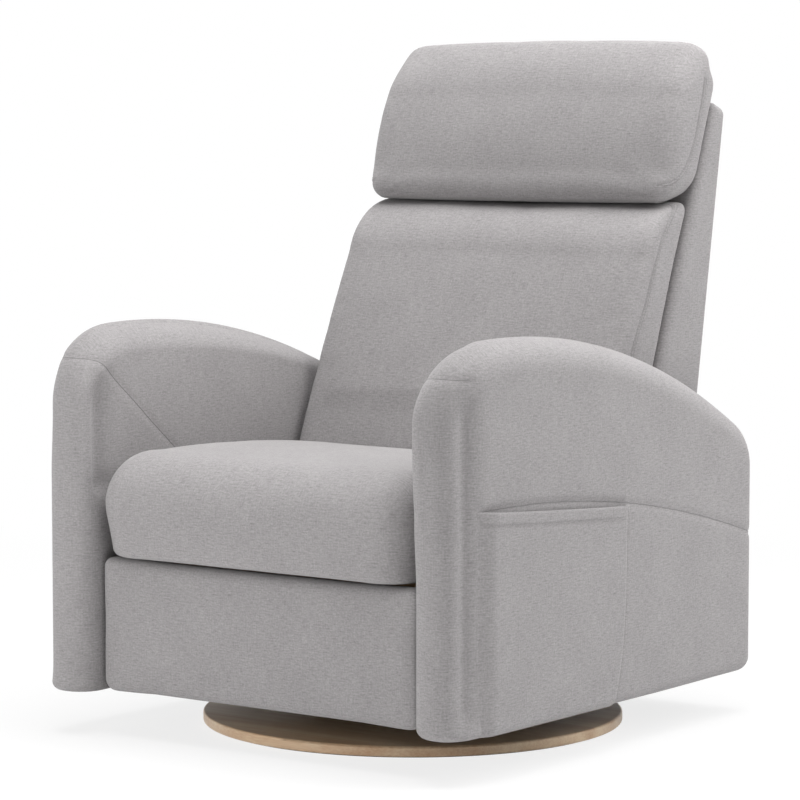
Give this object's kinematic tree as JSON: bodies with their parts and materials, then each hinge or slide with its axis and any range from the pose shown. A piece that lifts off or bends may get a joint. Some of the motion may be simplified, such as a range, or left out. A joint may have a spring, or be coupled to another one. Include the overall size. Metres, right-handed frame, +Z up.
{
  "type": "swivel rocker recliner",
  "caption": "Upholstered armchair with side pockets on a round wooden base: it swivels, rocks on springs and reclines while a footrest folds out from under the seat.",
  "frame": {"origin": "on the floor under the swivel axis", "axes": "+Z up, the front faces -Y, +X toward the sitter's left"},
  "size_m": [0.75, 0.8075, 0.991],
  "materials": {
    "fabric": "matte woven heather",
    "oak": "satin lacquer",
    "plywood": "raw",
    "felt": "matte felt",
    "dust_cloth": "matte non-woven",
    "steel": "satin black powder coat",
    "bright_steel": "zinc plated",
    "nylon": "matte",
    "rubber": "matte"
  },
  "bodies": {
    "base": {"base_pad": "felt", "base_disc": "oak", "swivel_base_plate": "steel", "swivel_plate_bolts": "bright_steel", "swivel_thrust_ring": "nylon", "king_bolt": "bright_steel", "king_nut": "bright_steel"},
    "turntable": {"turntable_plate": "steel", "rock_bracket_left": "steel", "rock_bracket_right": "steel", "rock_bumpers": "rubber", "rocker_springs": "bright_steel"},
    "chair": {"arm_bolts": "bright_steel", "arm_frame_left": "plywood", "arm_frame_right": "plywood", "arm_left": "fabric", "arm_right": "fabric", "back_pivot_pins": "bright_steel", "cross_tube_front": "steel", "cross_tube_rear": "steel", "dust_cover_front": "dust_cloth", "dust_cover_rear": "dust_cloth", "footrest_pivot_pins": "bright_steel", "front_rail": "plywood", "mechanism_plate_left": "steel", "mechanism_plate_right": "steel", "pocket_left": "fabric", "pocket_right": "fabric", "rear_panel": "fabric", "rear_spring_rail": "plywood", "rock_shaft": "bright_steel", "rocker_rail_left": "steel", "rocker_rail_right": "steel", "seat_cushion": "fabric", "seat_rail_left": "plywood", "seat_rail_right": "plywood", "seat_springs": "bright_steel"},
    "back": {"back_bracket_left": "steel", "back_bracket_right": "steel", "back_stile_left": "plywood", "back_stile_right": "plywood", "back_bottom_rail": "plywood", "back_top_rail": "plywood", "back_shell": "fabric", "back_skirt": "fabric", "back_cushion": "fabric", "headrest": "fabric"},
    "drive_rods": {"drive_rod_left": "steel", "drive_rod_right": "steel"},
    "footrest_lower_links": {"lower_link_left": "steel", "lower_link_right": "steel", "torsion_rod": "steel", "knee_pins": "bright_steel"},
    "footrest_upper_links": {"upper_link_left": "steel", "upper_link_right": "steel", "ankle_pins": "bright_steel"},
    "footrest": {"footrest_board": "plywood", "footrest_pad": "fabric", "footrest_bracket_left": "steel", "footrest_bracket_right": "steel"}
  },
  "joints": [
    {"name": "swivel", "type": "hinge", "parent": "base", "child": "turntable", "pos_m": [0, 0, 0], "axis": [0, 0, 1], "continuous": true},
    {"name": "rock", "type": "hinge", "parent": "turntable", "child": "chair", "pos_m": [0, 0, 0.105], "axis": [1, 0, 0], "range_deg": [-6, 6], "stiffness_Nm_per_rad": 900, "deforming": ["rocker_springs"]},
    {"name": "back_recline", "type": "hinge", "parent": "chair", "child": "back", "pos_m": [0, 0.165, 0.285], "axis": [-1, 0, 0], "range_deg": [0, 30]},
    {"name": "drive_rod_turn", "type": "hinge", "parent": "back", "child": "drive_rods", "pos_m": [0, 0.19088, 0.18841], "axis": [-1, 0, 0], "range_deg": [-30, 0]},
    {"name": "lower_link_turn", "type": "hinge", "parent": "chair", "child": "footrest_lower_links", "pos_m": [0, -0.27, 0.23], "axis": [-1, 0, 0], "range_deg": [0, 95]},
    {"name": "upper_link_turn", "type": "hinge", "parent": "footrest_lower_links", "child": "footrest_upper_links", "pos_m": [0, -0.25693, 0.08057], "axis": [-1, 0, 0], "range_deg": [-134.3, 0]},
    {"name": "footrest_turn", "type": "hinge", "parent": "footrest_upper_links", "child": "footrest", "pos_m": [0, -0.30412, 0.22], "axis": [-1, 0, 0], "range_deg": [0, 123.3]}
  ],
  "couplings": [
    {"joint": "drive_rod_turn", "follows": "back_recline", "ratio": -1},
    {"joint": "lower_link_turn", "follows": "back_recline", "ratio": 3.1666},
    {"joint": "upper_link_turn", "follows": "back_recline", "ratio": -4.4766},
    {"joint": "footrest_turn", "follows": "back_recline", "ratio": 4.1099}
  ]
}
